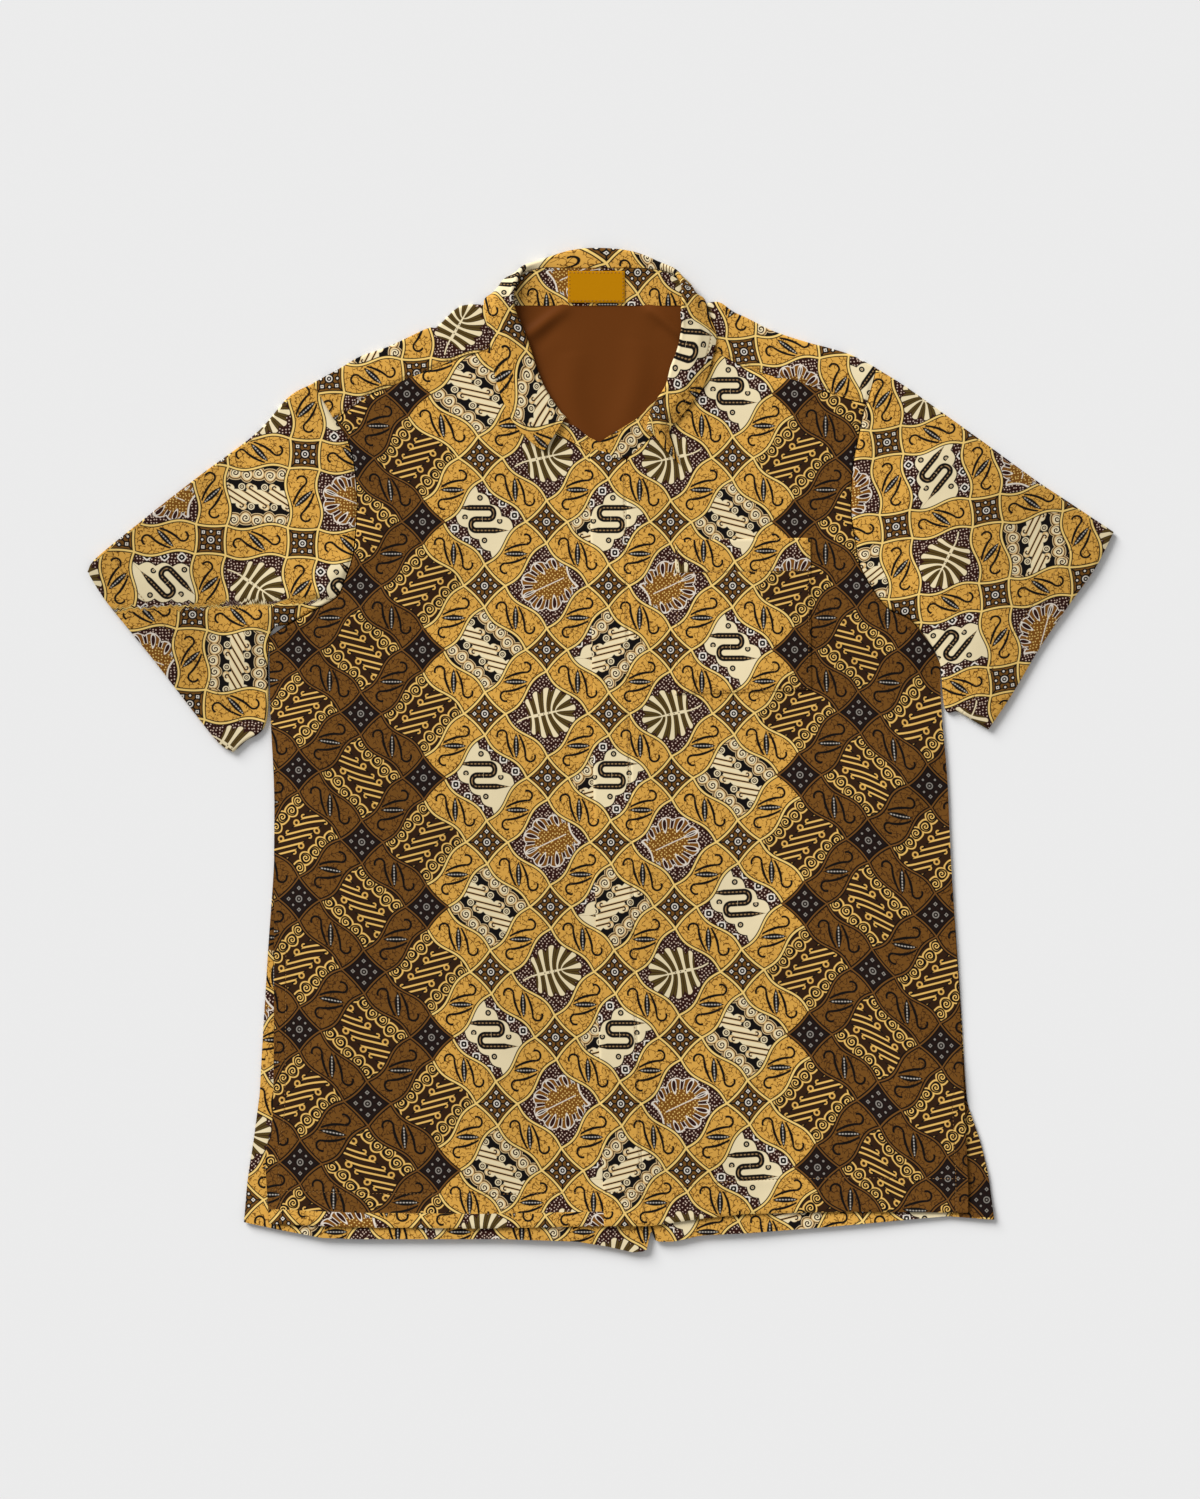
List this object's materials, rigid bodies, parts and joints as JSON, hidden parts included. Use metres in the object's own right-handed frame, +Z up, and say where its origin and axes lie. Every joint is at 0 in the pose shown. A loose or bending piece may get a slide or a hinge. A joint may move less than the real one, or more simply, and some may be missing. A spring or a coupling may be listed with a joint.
{
  "type": "short-sleeved batik shirt",
  "caption": "Collared short-sleeved shirt in patterned batik cotton, lying flat on its back with the neck open, hidden button placket, chest pocket and side vents.",
  "frame": {"origin": "below the middle of the outline, on the surface that the back lies on", "axes": "+X to the viewer's right as the shirt lies face up, +Y from hem to collar, +Z up"},
  "size_m": [0.8514, 0.834, 0.0134],
  "materials": {
    "printed_cotton": "matt cotton with a wax-resist print in ochre, cream, black and brown",
    "brown_satin": "smooth brown satin lining with a soft sheen",
    "ochre_label": "woven satin label, plain"
  },
  "bodies": {
    "root": {"back": "printed_cotton", "yoke": "printed_cotton", "front_right": "printed_cotton", "front_left": "printed_cotton", "placket": "printed_cotton", "chest_pocket": "printed_cotton", "sleeve_right": "printed_cotton", "sleeve_left": "printed_cotton", "collar_stand": "printed_cotton", "collar_leaf": "printed_cotton", "back_hem_facing": "printed_cotton", "neck_lining": "brown_satin", "neck_label": "ochre_label"}
  },
  "joints": []
}
